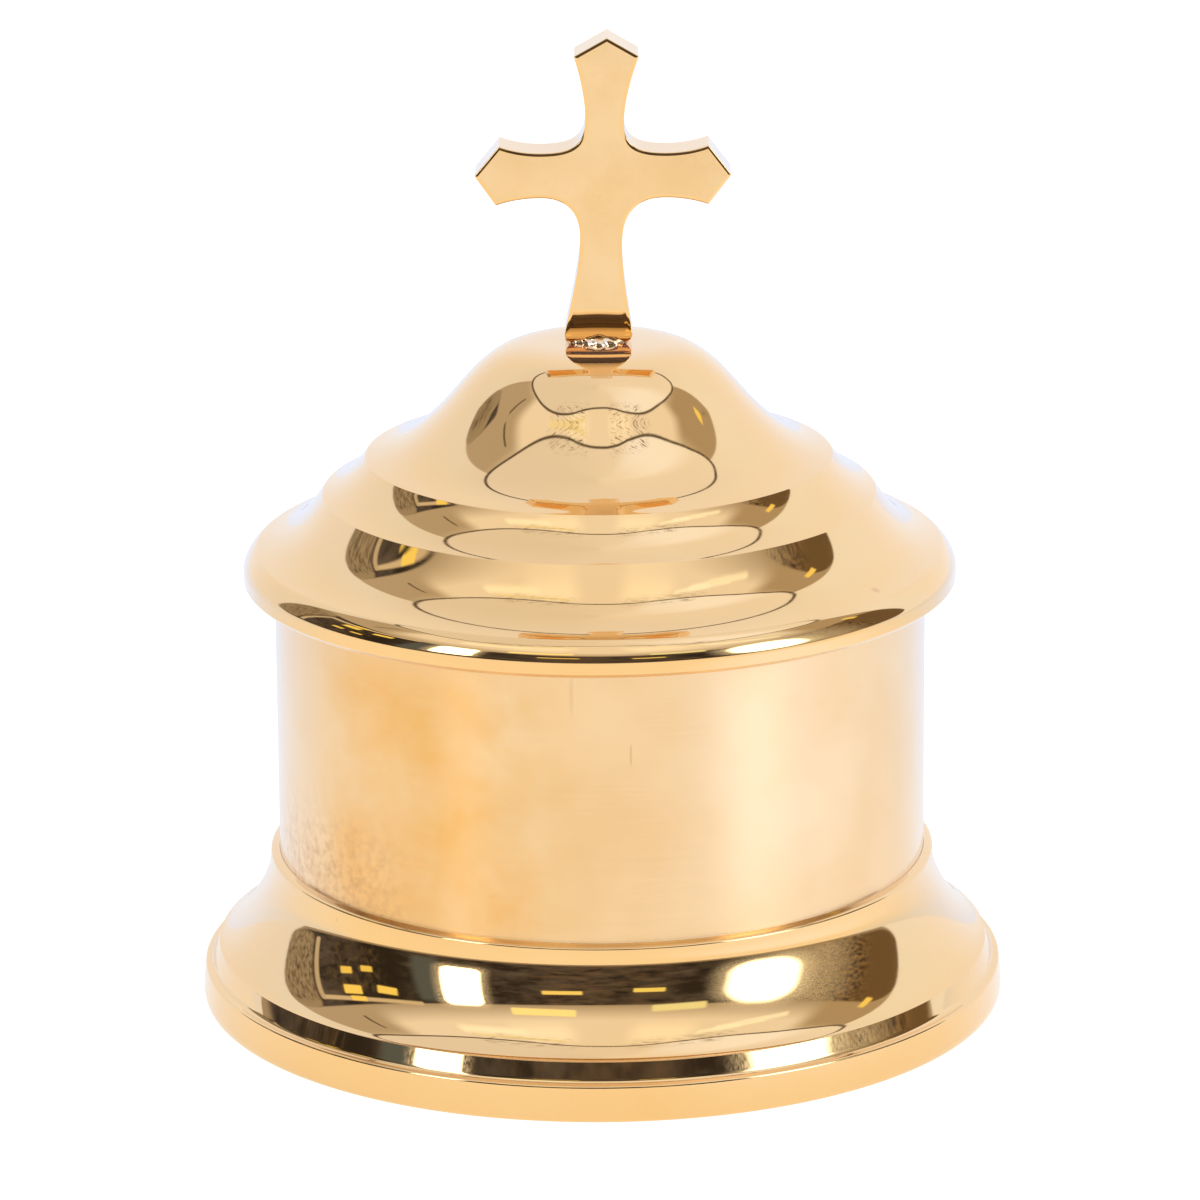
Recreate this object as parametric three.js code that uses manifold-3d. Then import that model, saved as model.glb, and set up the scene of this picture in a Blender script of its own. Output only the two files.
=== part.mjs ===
// A brass box for altar breads: a drum on a turned foot, a stepped and domed lid with a flat
// cross on its crown, and a loose plate inside that keeps the breads flat.
// Millimetres, +Z up. The origin is on the axis, at the level the foot stands on, and the
// cross shows its broad face towards -Y.

import * as THREE from 'three';
import Module from 'manifold-3d';
import { mergeVertices } from 'three/addons/utils/BufferGeometryUtils.js';

// Driving dimensions. A radius is R, a height above the standing surface is Z.

const SIDES = 48;             // flat facets round each turned piece
const FIT = 0.2;              // clearance of a sliding fit, on the radius

const FOOT_R = 54.0;          // the plinth at its widest
const FOOT_LEDGE_Z = 20.8;    // the narrow ledge round the drum
const FOOT_NECK_R = 44.6;     // top of the hollow sweep
const SWEEP_END = [51.8, 7.6];        // the sharp edge where the sweep ends, R and Z
const FILLET_END = [52.5, 5.6];       // foot of the upright fillet, where a small cove starts
const COVE_END = [53.0, 5.02];
const PLINTH_TOP = [53.68, 4.97];
const PLATE_SEAT_Z = 6.6;     // shoulder under the foot that the base plate is pulled against
const PLATE_SEAT_R = 49.8;
const PLATE_THICK = 1.6;
const LIP_R = 42.2;           // the lip in the foot's bore that the drum stands on

const DRUM_R = 43.4;
const DRUM_WALL = 1.5;
const DRUM_BOTTOM_Z = 8.0;
const DRUM_TOP_Z = 60.0;
const FLOOR_Z = 9.5;          // upper face of the floor inside the drum
const FLOOR_THICK = 1.5;

const STUD_R = 2.5;
const STUD_FLANGE_R = 6.5;
const STUD_END_Z = 1.0;
const NUT_ACROSS = 8.0;
const NUT_TALL = 2.7;
const WASHER_THICK = 0.8;

const LID_SHEET = 1.2;        // the lid is spun from sheet of this thickness
const CROWN_Z = 90.0;
const DOME_TURN = [18.93, 83.42];     // where the dome's curve turns from round to hollow
const DOME_TURN_SLOPE = 50.6;         // degrees below level, as are the slopes that follow
const UPPER_STEP = [31.03, 74.67];    // the upper sharp edge
const UPPER_STEP_SLOPES = [16.2, 54.4];
const LOWER_STEP = [36.78, 69.71];    // the lower sharp edge
const LOWER_STEP_SLOPES = [21.1, 56.0];
const RIM_TOP = [45.6, 62.3];         // where the nearly level brim turns down
const RIM_TOP_SLOPE = 14.5;
const RIM_R = 47.5;
const RIM_BAND_Z = [59.5, 58.2];      // the upright band round the rim, top and bottom
const RIM_LOW = [47.0, 57.7];

const COLLAR_WALL = 1.2;
const COLLAR_END_Z = 52.0;
const FLANGE_R = 45.0;
const FLANGE_THICK = 1.0;

const CROSS_THICK = 6.4;
const CROSS_FOOT_Z = CROWN_Z + 0.05;
const CROSS_ARM_Z = 113.0;    // middle of the arms
const CROSS_TOP_Z = 131.3;
const CROSS_REACH = 16.85;    // from the middle to the point of an arm
const CROSS_FOOT_HALF = 4.45;
const CROSS_LEAN = 0.034;     // its stem leans this far to +X for each mm of its height
const FOOT_ROUND_Z = 95.05;   // below this the cross rounds under towards the lid
const CROSS_SCREW_R = 1.45;
const CROSS_SCREW_END_Z = 99.0;
const CROWN_HOLE_R = 1.7;

const PRESS_R = 37.5;
const PRESS_Z = 9.6;          // underside of the press plate, resting in the empty box
const PRESS_THICK = 3.0;
const KNOB_TALL = 15.0;
const KNOB_R = 5.5;
const PRESS_SCREW_R = 1.95;

const DEG = Math.PI / 180;

const wasm = await Module();
wasm.setup();

// Finishes, in the colours of the photograph.

function metal(colour, roughness) {
  return new THREE.MeshStandardMaterial({ color: colour, roughness, metalness: 1.0 });
}
const polished = metal(0xe9c27c, 0.12);
const satin = metal(0xe8c68c, 0.3);
const inside = metal(0xd9b36c, 0.35);
const rough = metal(0xb08d4e, 0.55);

const model = new THREE.Group();

function addPiece(name, geometry, material) {
  const mesh = new THREE.Mesh(geometry, material);
  mesh.name = name;
  model.add(mesh);
}

// A turned solid. The outline runs anticlockwise with R to the right and Z up, and ends where
// it began, so its outside is walked upwards and its inside downwards.
function turned(outline, sides = SIDES) {
  const closed = [...outline, outline[0].clone()];
  const geometry = new THREE.LatheGeometry(closed, sides);
  return geometry.rotateX(Math.PI / 2);
}

function points(...pairs) {
  return pairs.map(([r, z]) => new THREE.Vector2(r, z));
}

// A curve between two points of an outline. Each end has a slope in degrees below level and a
// reach, which is how far the curve keeps close to that slope.
function sweep(from, fromSlope, fromReach, to, toSlope, toReach, steps) {
  const start = new THREE.Vector2(...from);
  const end = new THREE.Vector2(...to);
  const leave = new THREE.Vector2(Math.cos(fromSlope * DEG), -Math.sin(fromSlope * DEG));
  const arrive = new THREE.Vector2(Math.cos(toSlope * DEG), -Math.sin(toSlope * DEG));
  const curve = new THREE.CubicBezierCurve(
    start, start.clone().addScaledVector(leave, fromReach),
    end.clone().addScaledVector(arrive, -toReach), end,
  );
  return curve.getPoints(steps);
}

// Stretches of an outline in a row, with the point that two of them share kept once.
function joined(...stretches) {
  return stretches.flat().filter((p, i, all) => i === 0 || p.distanceTo(all[i - 1]) > 1e-6);
}

// The far side of a sheet, that far to the right of the way the outline is walked.
function offset(outline, thickness) {
  return outline.map((p, i) => {
    const before = outline[Math.max(i - 1, 0)];
    const after = outline[Math.min(i + 1, outline.length - 1)];
    const inward = i === 0 ? after.clone().sub(p).normalize() : p.clone().sub(before).normalize();
    const outward = i === outline.length - 1 ? inward : after.clone().sub(p).normalize();
    const along = inward.clone().add(outward).normalize();
    const reach = thickness / Math.max(along.dot(inward), 0.5);
    return new THREE.Vector2(p.x + along.y * reach, p.y - along.x * reach);
  });
}

function solid(geometry) {
  const bare = geometry.clone();
  bare.deleteAttribute('normal');
  bare.deleteAttribute('uv');
  const merged = mergeVertices(bare);
  return new wasm.Manifold(new wasm.Mesh({
    numProp: 3,
    vertProperties: new Float32Array(merged.attributes.position.array),
    triVerts: new Uint32Array(merged.index.array),
  }));
}

function fromSolid(manifold) {
  const mesh = manifold.getMesh();
  const geometry = new THREE.BufferGeometry();
  geometry.setAttribute('position', new THREE.BufferAttribute(mesh.vertProperties, 3));
  geometry.setIndex(new THREE.BufferAttribute(mesh.triVerts, 1));
  geometry.computeVertexNormals();
  return geometry;
}

// The foot: a heavy turned ring. The drum stands in its bore on a lip, and its underside is
// stepped to take the base plate.
function footMoulding() {
  const bore = DRUM_R + 0.1;
  const round = 0.35;
  const sweepTop = [FOOT_NECK_R, FOOT_LEDGE_Z - 0.6];
  const face = sweep(sweepTop, 90, 6.3, SWEEP_END, 12, 1.5, 9);
  const cove = [FILLET_END[0] + 0.1, COVE_END[1] + 0.15];
  const plinthSide = sweep(PLINTH_TOP, 83, 1.0, [FOOT_R, 1.3], 88.5, 1.0, 3);
  const outside = joined(
    points([bore, FOOT_LEDGE_Z], [FOOT_NECK_R - round, FOOT_LEDGE_Z - 0.25],
      [FOOT_NECK_R - 0.1, FOOT_LEDGE_Z - 0.4]),
    face,
    points(FILLET_END, cove, COVE_END),
    plinthSide,
    points([FOOT_R - 0.2, 0.4], [FOOT_R - 0.6, 0]),
  );
  const underside = points([PLATE_SEAT_R + 0.5, 0], [PLATE_SEAT_R + 0.1, 2.5],
    [PLATE_SEAT_R + 0.1, PLATE_SEAT_Z], [LIP_R, PLATE_SEAT_Z], [LIP_R, DRUM_BOTTOM_Z - 0.1],
    [bore, DRUM_BOTTOM_Z - 0.1]);
  return turned([...outside, ...underside].reverse());
}
addPiece('foot_moulding', footMoulding(), polished);

// The drum: a straight tube whose lower end is sunk in the foot.
function drumWall() {
  const inner = DRUM_R - DRUM_WALL;
  return turned(points(
    [inner, DRUM_BOTTOM_Z], [DRUM_R, DRUM_BOTTOM_Z],
    [DRUM_R, DRUM_TOP_Z - 0.3], [DRUM_R - 0.3, DRUM_TOP_Z],
    [inner + 0.3, DRUM_TOP_Z], [inner, DRUM_TOP_Z - 0.3],
  ));
}
addPiece('drum_wall', drumWall(), polished);

// The floor that the breads lie on, brazed inside the drum.
function disc(radius, low, high, hole = 0) {
  return turned(points([hole, low], [radius, low], [radius, high], [hole, high]));
}
const floorUnder = FLOOR_Z - FLOOR_THICK;
addPiece('drum_floor', disc(DRUM_R - DRUM_WALL - 0.05, floorUnder, FLOOR_Z), inside);

// The stud under the floor, which pulls the drum down on the foot through the base plate.
const plateTop = PLATE_SEAT_Z;
const plateUnder = PLATE_SEAT_Z - PLATE_THICK;
const stud = points([0, STUD_END_Z], [STUD_R - 0.4, STUD_END_Z], [STUD_R, STUD_END_Z + 0.4],
  [STUD_R, floorUnder - 0.9], [STUD_FLANGE_R, floorUnder - 0.9], [STUD_FLANGE_R, floorUnder],
  [0, floorUnder]);
addPiece('centre_stud', turned(stud, 24), rough);
addPiece('base_plate', disc(PLATE_SEAT_R, plateUnder, plateTop, STUD_R + 0.3), satin);
const washerUnder = plateUnder - WASHER_THICK;
const washer = points([STUD_R + 0.2, washerUnder], [6, washerUnder], [6, plateUnder],
  [STUD_R + 0.2, plateUnder]);
addPiece('stud_washer', turned(washer, 24), rough);

function hexNut(across, hole, low, tall) {
  const corner = across / Math.sqrt(3);
  const shape = new THREE.Shape();
  for (let i = 0; i < 6; i += 1) {
    const angle = (i * 60 + 30) * DEG;
    const [x, y] = [corner * Math.cos(angle), corner * Math.sin(angle)];
    if (i === 0) shape.moveTo(x, y);
    else shape.lineTo(x, y);
  }
  shape.closePath();
  shape.holes.push(new THREE.Path().absarc(0, 0, hole, 0, 2 * Math.PI, true));
  const body = new THREE.ExtrudeGeometry(shape, { depth: tall, bevelEnabled: false, curveSegments: 12 });
  return body.translate(0, 0, low);
}
addPiece('stud_nut', hexNut(NUT_ACROSS, STUD_R + 0.2, washerUnder - NUT_TALL, NUT_TALL), rough);

// The lid: one spun sheet from the hole in the crown down to the rim.
function lidFace(fineness) {
  const dome = sweep([0, CROWN_Z], 0, 11.1, DOME_TURN, DOME_TURN_SLOPE, 9.06, 10 * fineness);
  const hollow = sweep(DOME_TURN, DOME_TURN_SLOPE, 9.7, UPPER_STEP, UPPER_STEP_SLOPES[0], 3.0,
    8 * fineness);
  const upper = sweep(UPPER_STEP, UPPER_STEP_SLOPES[1], 0.56, LOWER_STEP, LOWER_STEP_SLOPES[0], 3.7,
    6 * fineness);
  const lower = sweep(LOWER_STEP, LOWER_STEP_SLOPES[1], 5.4, RIM_TOP, RIM_TOP_SLOPE, 4.6,
    8 * fineness);
  const rim = sweep(RIM_TOP, RIM_TOP_SLOPE, 0.5, [RIM_R, RIM_BAND_Z[0]], 90, 1.2, 6 * fineness);
  const start = new THREE.Vector2(CROWN_HOLE_R, CROWN_Z - 0.02);
  const beyondHole = dome.filter((p) => p.x > CROWN_HOLE_R + 0.1);
  return joined([start], beyondHole, hollow, upper, lower, rim,
    points([RIM_R, RIM_BAND_Z[1]], RIM_LOW));
}
function lidShell() {
  const outside = lidFace(1);
  const under = offset(lidFace(0.5), LID_SHEET);
  under[0].x = CROWN_HOLE_R;
  const edge = points([RIM_LOW[0] - 0.6, RIM_LOW[1] - 0.2]);
  return turned([...outside, ...edge, ...under.reverse()].reverse());
}
addPiece('lid_shell', lidShell(), polished);

// The collar soldered inside the lid: its flange sits on the drum, its tube drops inside.
function lidCollar() {
  const outer = DRUM_R - DRUM_WALL - FIT;
  const inner = outer - COLLAR_WALL;
  return turned(points(
    [inner, COLLAR_END_Z], [outer - 0.5, COLLAR_END_Z], [outer, COLLAR_END_Z + 1.2],
    [outer, DRUM_TOP_Z], [FLANGE_R, DRUM_TOP_Z], [FLANGE_R - 0.5, DRUM_TOP_Z + FLANGE_THICK],
    [inner, DRUM_TOP_Z + FLANGE_THICK],
  ));
}
addPiece('lid_collar', lidCollar(), inside);

// The cross: sawn by hand from plate, with three pointed and flared arms and a flared stem. The
// arms are level, but the stem isn't quite square to them.
function crossOutline() {
  const armHalf = 3.95;         // half the width of an arm at its end
  const armEnd = 13.7;          // where an arm's point begins, above and below
  const armEndLow = 13.95;
  const armWaist = 3.0;
  const armWaistX = 8.2;
  const topHalf = 4.27;
  const topEndZ = 128.85;
  const topWaist = 2.55;
  const topWaistZ = 120.3;
  const stemWaist = 2.78;
  const stemWaistZ = 104.2;
  const armUnder = CROSS_ARM_Z - armWaist;
  const armOver = CROSS_ARM_Z + armWaist;
  const right = new THREE.Path();
  right.moveTo(0, CROSS_FOOT_Z);
  right.lineTo(CROSS_FOOT_HALF - 1.4, CROSS_FOOT_Z);
  right.quadraticCurveTo(CROSS_FOOT_HALF, CROSS_FOOT_Z, CROSS_FOOT_HALF, CROSS_FOOT_Z + 1.6);
  right.bezierCurveTo(CROSS_FOOT_HALF - 0.6, 95.6, stemWaist, 99.8, stemWaist, stemWaistZ);
  right.bezierCurveTo(stemWaist, 108.0, 4.6, armUnder, armWaistX, armUnder);
  right.quadraticCurveTo(11.2, armUnder, armEndLow, CROSS_ARM_Z - armHalf);
  right.lineTo(CROSS_REACH, CROSS_ARM_Z);
  right.lineTo(armEnd, CROSS_ARM_Z + armHalf);
  right.quadraticCurveTo(11.2, armOver, armWaistX, armOver);
  right.bezierCurveTo(3.8, armOver, topWaist, 117.3, topWaist, topWaistZ);
  right.quadraticCurveTo(topWaist, 123.8, topHalf, topEndZ);
  right.lineTo(0, CROSS_TOP_Z);
  const half = right.getPoints(5);
  const left = half.slice(1, -1).reverse().map((p) => new THREE.Vector2(-p.x, p.y));
  const upright = [...half, ...left];
  return new THREE.Shape(upright.map(
    (p) => new THREE.Vector2(p.x + CROSS_LEAN * (p.y - CROSS_FOOT_Z), p.y),
  ));
}
function cross() {
  const half = CROSS_THICK / 2;
  const plate = new THREE.ExtrudeGeometry(crossOutline(), { depth: CROSS_THICK, bevelEnabled: false });
  plate.rotateX(Math.PI / 2).translate(0, half, 0);

  // seen from the side, the foot rounds under at the front and at the back to a narrow land
  const side = new THREE.Shape();
  const land = 1.1;
  const lower = [land + 1.4, CROSS_FOOT_Z + 0.4];
  const upper = [half - 0.45, CROSS_FOOT_Z + 1.95];
  side.moveTo(land, CROSS_FOOT_Z - 0.01);
  side.bezierCurveTo(...lower, ...upper, half + 0.01, FOOT_ROUND_Z);
  side.lineTo(half + 0.01, CROSS_TOP_Z + 1);
  side.lineTo(-half - 0.01, CROSS_TOP_Z + 1);
  side.lineTo(-half - 0.01, FOOT_ROUND_Z);
  side.bezierCurveTo(-upper[0], upper[1], -lower[0], lower[1], -land, CROSS_FOOT_Z - 0.01);
  side.closePath();
  const width = 2 * CROSS_REACH + 4;
  const profile = new THREE.ExtrudeGeometry(side, { depth: width, bevelEnabled: false, curveSegments: 5 });
  profile.rotateX(Math.PI / 2).rotateZ(Math.PI / 2).translate(-width / 2, 0, 0);

  const holeTall = CROSS_SCREW_END_Z + 0.5 - (CROSS_FOOT_Z - 1);
  const hole = new THREE.CylinderGeometry(CROSS_SCREW_R + 0.1, CROSS_SCREW_R + 0.1, holeTall, 24);
  hole.rotateX(Math.PI / 2).translate(0, 0, CROSS_FOOT_Z - 1 + holeTall / 2);
  return fromSolid(solid(plate).intersect(solid(profile)).subtract(solid(hole)));
}
addPiece('cross', cross(), satin);

// The screw through the crown that holds the cross, and the washer under its head.
const crownUnder = CROWN_Z - LID_SHEET - 0.15;
const crossWasherUnder = crownUnder - WASHER_THICK;
const crossWasher = points([CROSS_SCREW_R + 0.2, crossWasherUnder], [4, crossWasherUnder],
  [4, crownUnder], [CROSS_SCREW_R + 0.2, crownUnder]);
addPiece('cross_washer', turned(crossWasher, 24), rough);
function crossScrew() {
  const headR = 2.8;
  const headTall = 2.0;
  const headUnder = crossWasherUnder - headTall;
  const body = turned(points(
    [0, headUnder], [headR - 0.9, headUnder], [headR, headUnder + 0.9], [headR, crossWasherUnder],
    [CROSS_SCREW_R, crossWasherUnder], [CROSS_SCREW_R, CROSS_SCREW_END_Z - 0.6],
    [CROSS_SCREW_R - 0.6, CROSS_SCREW_END_Z], [0, CROSS_SCREW_END_Z],
  ), 24);
  const slot = new THREE.BoxGeometry(2 * headR + 2, 0.8, 2.0).translate(0, 0, headUnder);
  return fromSolid(solid(body).subtract(solid(slot)));
}
addPiece('cross_screw', crossScrew(), rough);

// The press: a loose plate that lies on the breads, lifted by its knob.
const pressTop = PRESS_Z + PRESS_THICK;
const sinkR = 4.0;
const sinkDeep = 1.9;
const pressPlate = points(
  [sinkR, PRESS_Z], [PRESS_R - 0.5, PRESS_Z], [PRESS_R, PRESS_Z + 0.5], [PRESS_R, pressTop - 0.9],
  [PRESS_R - 0.3, pressTop - 0.3], [PRESS_R - 0.9, pressTop], [PRESS_SCREW_R + 0.2, pressTop],
  [PRESS_SCREW_R + 0.2, PRESS_Z + sinkDeep],
);
addPiece('press_plate', turned(pressPlate), inside);
function pressKnob() {
  const boreR = PRESS_SCREW_R + 0.1;
  const boreTop = pressTop + 8.5;
  const ballZ = pressTop + KNOB_TALL - KNOB_R;
  const ball = [];
  for (let angle = -60; angle < 90; angle += 15) {
    ball.push([KNOB_R * Math.cos(angle * DEG), ballZ + KNOB_R * Math.sin(angle * DEG)]);
  }
  return turned(points(
    [boreR, pressTop], [6, pressTop], [6, pressTop + 1], [5.3, pressTop + 1.4], [3.1, pressTop + 2.4],
    ...ball, [0, ballZ + KNOB_R], [0, boreTop], [boreR, boreTop],
  ), 32);
}
addPiece('press_knob', pressKnob(), polished);
function pressScrew() {
  const end = pressTop + 7.5;
  const headR = sinkR - 0.15;
  const body = turned(points(
    [0, PRESS_Z + 0.1], [headR, PRESS_Z + 0.1], [PRESS_SCREW_R, PRESS_Z + sinkDeep],
    [PRESS_SCREW_R, end - 0.5], [PRESS_SCREW_R - 0.5, end], [0, end],
  ), 24);
  const slot = new THREE.BoxGeometry(2 * sinkR + 1, 0.9, 1.4).translate(0, 0, PRESS_Z);
  return fromSolid(solid(body).subtract(solid(slot)));
}
addPiece('press_screw', pressScrew(), rough);

export default model;
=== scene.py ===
"""A brass box for altar breads: a drum on a turned foot, under a stepped and domed lid with a
flat cross on its crown, and a loose plate with a knob inside. Sizes are in millimetres and
become metres where a mesh is made. R is a radius from the axis, Z a height."""
import math

import bmesh
import bpy
from mathutils import Matrix, Vector


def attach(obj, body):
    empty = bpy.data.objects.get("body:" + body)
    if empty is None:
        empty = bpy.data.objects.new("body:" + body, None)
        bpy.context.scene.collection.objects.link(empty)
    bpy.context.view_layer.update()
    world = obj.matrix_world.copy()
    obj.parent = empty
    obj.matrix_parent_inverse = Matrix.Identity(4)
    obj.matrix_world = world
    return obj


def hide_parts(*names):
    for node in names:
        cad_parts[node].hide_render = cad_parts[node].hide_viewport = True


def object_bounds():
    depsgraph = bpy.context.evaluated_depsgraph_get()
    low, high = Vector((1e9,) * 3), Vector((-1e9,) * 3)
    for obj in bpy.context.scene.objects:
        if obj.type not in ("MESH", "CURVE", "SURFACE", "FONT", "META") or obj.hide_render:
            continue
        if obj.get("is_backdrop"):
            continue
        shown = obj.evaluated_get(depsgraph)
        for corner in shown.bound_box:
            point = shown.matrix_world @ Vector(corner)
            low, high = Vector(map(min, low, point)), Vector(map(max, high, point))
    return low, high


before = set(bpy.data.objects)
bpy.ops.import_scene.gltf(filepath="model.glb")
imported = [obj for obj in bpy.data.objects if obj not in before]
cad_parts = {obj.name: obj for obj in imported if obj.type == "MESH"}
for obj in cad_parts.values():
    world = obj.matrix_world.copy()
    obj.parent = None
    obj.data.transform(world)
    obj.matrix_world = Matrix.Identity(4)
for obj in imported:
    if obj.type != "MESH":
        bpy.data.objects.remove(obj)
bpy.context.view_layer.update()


# The foot
# A heavy ring turned from cast brass, then mopped to a mirror and lacquered. A hollow sweep
# runs from the ledge under the drum down to a sharp edge, and an upright fillet stands on a
# low plinth. Its underside is stepped to take the base plate.

FOOT_R = 54.0
FOOT_LEDGE_Z = 20.8
FOOT_NECK_R = 44.6
SWEEP_END = (51.8, 7.6)
FILLET_END = (52.5, 5.6)
COVE_END = (53.0, 5.02)
PLINTH_TOP = (53.68, 4.97)
PLATE_SEAT_R = 49.8
PLATE_SEAT_Z = 6.6
LIP_R = 42.2
DRUM_R = 43.4
DRUM_BOTTOM_Z = 8.0
AROUND = 256          # faces round a piece that shows, fine enough for an unbroken edge
AROUND_SMALL = 96     # and round a small one
EDGE = 0.14           # mopping rounds every turned edge to about this radius


def bezier(*corners, steps=24):
    """Points along a curve drawn by its corner points."""
    line = []
    for step in range(steps + 1):
        t = step / steps
        level = [Vector(c) for c in corners]
        while len(level) > 1:
            level = [a.lerp(b, t) for a, b in zip(level, level[1:])]
        line.append(tuple(level[0]))
    return line


def sweep(start, start_slope, start_reach, end, end_slope, end_reach, steps=32):
    """A curve of an outline. A slope is in degrees below level, a reach is how far it holds."""
    leave = Vector((math.cos(math.radians(start_slope)), -math.sin(math.radians(start_slope))))
    arrive = Vector((math.cos(math.radians(end_slope)), -math.sin(math.radians(end_slope))))
    start, end = Vector(start), Vector(end)
    return bezier(start, start + leave * start_reach, end - arrive * end_reach, end, steps=steps)


def joined(*stretches):
    """Stretches of an outline in a row, with a point that two of them share kept once."""
    line = []
    for p in (p for stretch in stretches for p in stretch):
        if not line or math.dist(p, line[-1]) > 1e-4:
            line.append(tuple(p))
    return line


def eased(outline, radius=EDGE, closed=True):
    """The outline with its corners rounded, and a point held close to each rounding so that
    the flat beside it stays flat in a mirror finish."""
    count, line = len(outline), []
    for i, p in enumerate(outline):
        if not closed and i in (0, count - 1):
            line.append(tuple(p))
            continue
        here, before, after = Vector(p), Vector(outline[i - 1]), Vector(outline[(i + 1) % count])
        back, on = before - here, after - here
        turn = math.pi - back.angle(on)
        if turn < math.radians(13):
            line.append(tuple(p))
            continue
        room = min(back.length, on.length)
        reach = min(radius * math.tan(turn / 2), 0.4 * room)
        hold = min(0.12, 0.07 * room)
        back, on = back.normalized(), on.normalized()
        line.append(tuple(here + back * (reach + hold)))
        line += bezier(here + back * reach, here, here + on * reach, steps=5)
        line.append(tuple(here + on * (reach + hold)))
    return line


def add(tree, kind, links=None, **settings):
    """One node of a tree: its settings, and its inputs by name or number, each a value or a
    socket to link from."""
    node = tree.nodes.new(kind)
    for key, value in settings.items():
        setattr(node, key, value)
    for key, value in (links or {}).items():
        if isinstance(value, bpy.types.NodeSocket):
            tree.links.new(value, node.inputs[key])
        else:
            node.inputs[key].default_value = value
    return node


def lathe_tree():
    """Turns an outline, given as a mesh of points with X as R, round the Z axis."""
    tree = bpy.data.node_groups.new("Turned piece", "GeometryNodeTree")
    face = tree.interface
    face.new_socket("Outline", in_out="INPUT", socket_type="NodeSocketGeometry")
    face.new_socket("Faces around", in_out="INPUT", socket_type="NodeSocketInt")
    face.new_socket("Finish", in_out="INPUT", socket_type="NodeSocketMaterial")
    face.new_socket("Piece", in_out="OUTPUT", socket_type="NodeSocketGeometry")
    given = add(tree, "NodeGroupInput")
    outline = given.outputs["Outline"]
    around = given.outputs["Faces around"]
    count = add(tree, "GeometryNodeAttributeDomainSize", {"Geometry": outline})
    columns = add(tree, "ShaderNodeMath", {0: around, 1: 1.0}, operation="ADD")
    grid = add(tree, "GeometryNodeMeshGrid", {
        "Vertices X": count.outputs["Point Count"], "Vertices Y": columns.outputs[0]})
    index = add(tree, "GeometryNodeInputIndex")
    row = add(tree, "ShaderNodeMath", {0: index.outputs[0], 1: columns.outputs[0]},
              operation="DIVIDE")
    row = add(tree, "ShaderNodeMath", {0: row.outputs[0]}, operation="FLOOR")
    column = add(tree, "ShaderNodeMath", {0: index.outputs[0], 1: columns.outputs[0]},
                 operation="FLOORED_MODULO")
    turn = add(tree, "ShaderNodeMath", {0: column.outputs[0], 1: around}, operation="DIVIDE")
    turn = add(tree, "ShaderNodeMath", {0: turn.outputs[0], 1: 2 * math.pi}, operation="MULTIPLY")
    place = add(tree, "GeometryNodeInputPosition")
    point = add(tree, "GeometryNodeSampleIndex", {
        "Geometry": outline, "Value": place.outputs[0], "Index": row.outputs[0]},
        data_type="FLOAT_VECTOR")
    point = add(tree, "ShaderNodeSeparateXYZ", {0: point.outputs[0]})
    sine = add(tree, "ShaderNodeMath", {0: turn.outputs[0]}, operation="SINE")
    cosine = add(tree, "ShaderNodeMath", {0: turn.outputs[0]}, operation="COSINE")
    x = add(tree, "ShaderNodeMath", {0: point.outputs[0], 1: sine.outputs[0]},
            operation="MULTIPLY")
    y = add(tree, "ShaderNodeMath", {0: point.outputs[0], 1: cosine.outputs[0]},
            operation="MULTIPLY")
    y = add(tree, "ShaderNodeMath", {0: y.outputs[0], 1: -1.0}, operation="MULTIPLY")
    spot = add(tree, "ShaderNodeCombineXYZ", {0: x.outputs[0], 1: y.outputs[0],
                                              2: point.outputs[2]})
    wound = add(tree, "GeometryNodeSetPosition", {
        "Geometry": grid.outputs["Mesh"], "Position": spot.outputs[0]})
    closed = add(tree, "GeometryNodeMergeByDistance", {
        "Geometry": wound.outputs[0], "Distance": 2e-6})
    outward = add(tree, "GeometryNodeFlipFaces", {0: closed.outputs[0]})
    smooth = add(tree, "GeometryNodeSetShadeSmooth", {0: outward.outputs[0]})
    whole = add(tree, "GeometryNodeRealizeInstances", {0: smooth.outputs[0]})
    finish = add(tree, "GeometryNodeSetMaterial", {
        "Geometry": whole.outputs[0], "Material": given.outputs["Finish"]})
    add(tree, "NodeGroupOutput", {0: finish.outputs[0]})
    return tree


LATHE = lathe_tree()


def bake(piece):
    """The modifiers' result becomes the piece's own mesh."""
    graph = bpy.context.evaluated_depsgraph_get()
    mesh = bpy.data.meshes.new_from_object(piece.evaluated_get(graph))
    piece.modifiers.clear()
    piece.data = mesh


def new_piece(name, mesh):
    piece = bpy.data.objects.new(name, mesh)
    bpy.context.scene.collection.objects.link(piece)
    return piece


def turned(name, outline, finish, closed=True, around=AROUND):
    """A turned piece. A closed outline runs anticlockwise with R to the right, and an open one
    runs up from the axis round the outside and back to it."""
    mesh = bpy.data.meshes.new(name)
    line = list(outline) + ([outline[0]] if closed else [])
    mesh.from_pydata([(r / 1000, 0, z / 1000) for r, z in line],
                     [(i, i + 1) for i in range(len(line) - 1)], [])
    piece = new_piece(name, mesh)
    lathe = piece.modifiers.new("Lathe", "NODES")
    lathe.node_group = LATHE
    sockets = {item.name: item.identifier for item in LATHE.interface.items_tree}
    lathe[sockets["Faces around"]] = around
    lathe[sockets["Finish"]] = finish
    bake(piece)
    piece.data.name = name
    return piece


def linear(code):
    """An sRGB hex colour as Blender's linear one."""
    parts = (int(code[i:i + 2], 16) / 255 for i in (1, 3, 5))
    return (*(p / 12.92 if p <= 0.04045 else ((p + 0.055) / 1.055) ** 2.4 for p in parts), 1.0)


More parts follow.
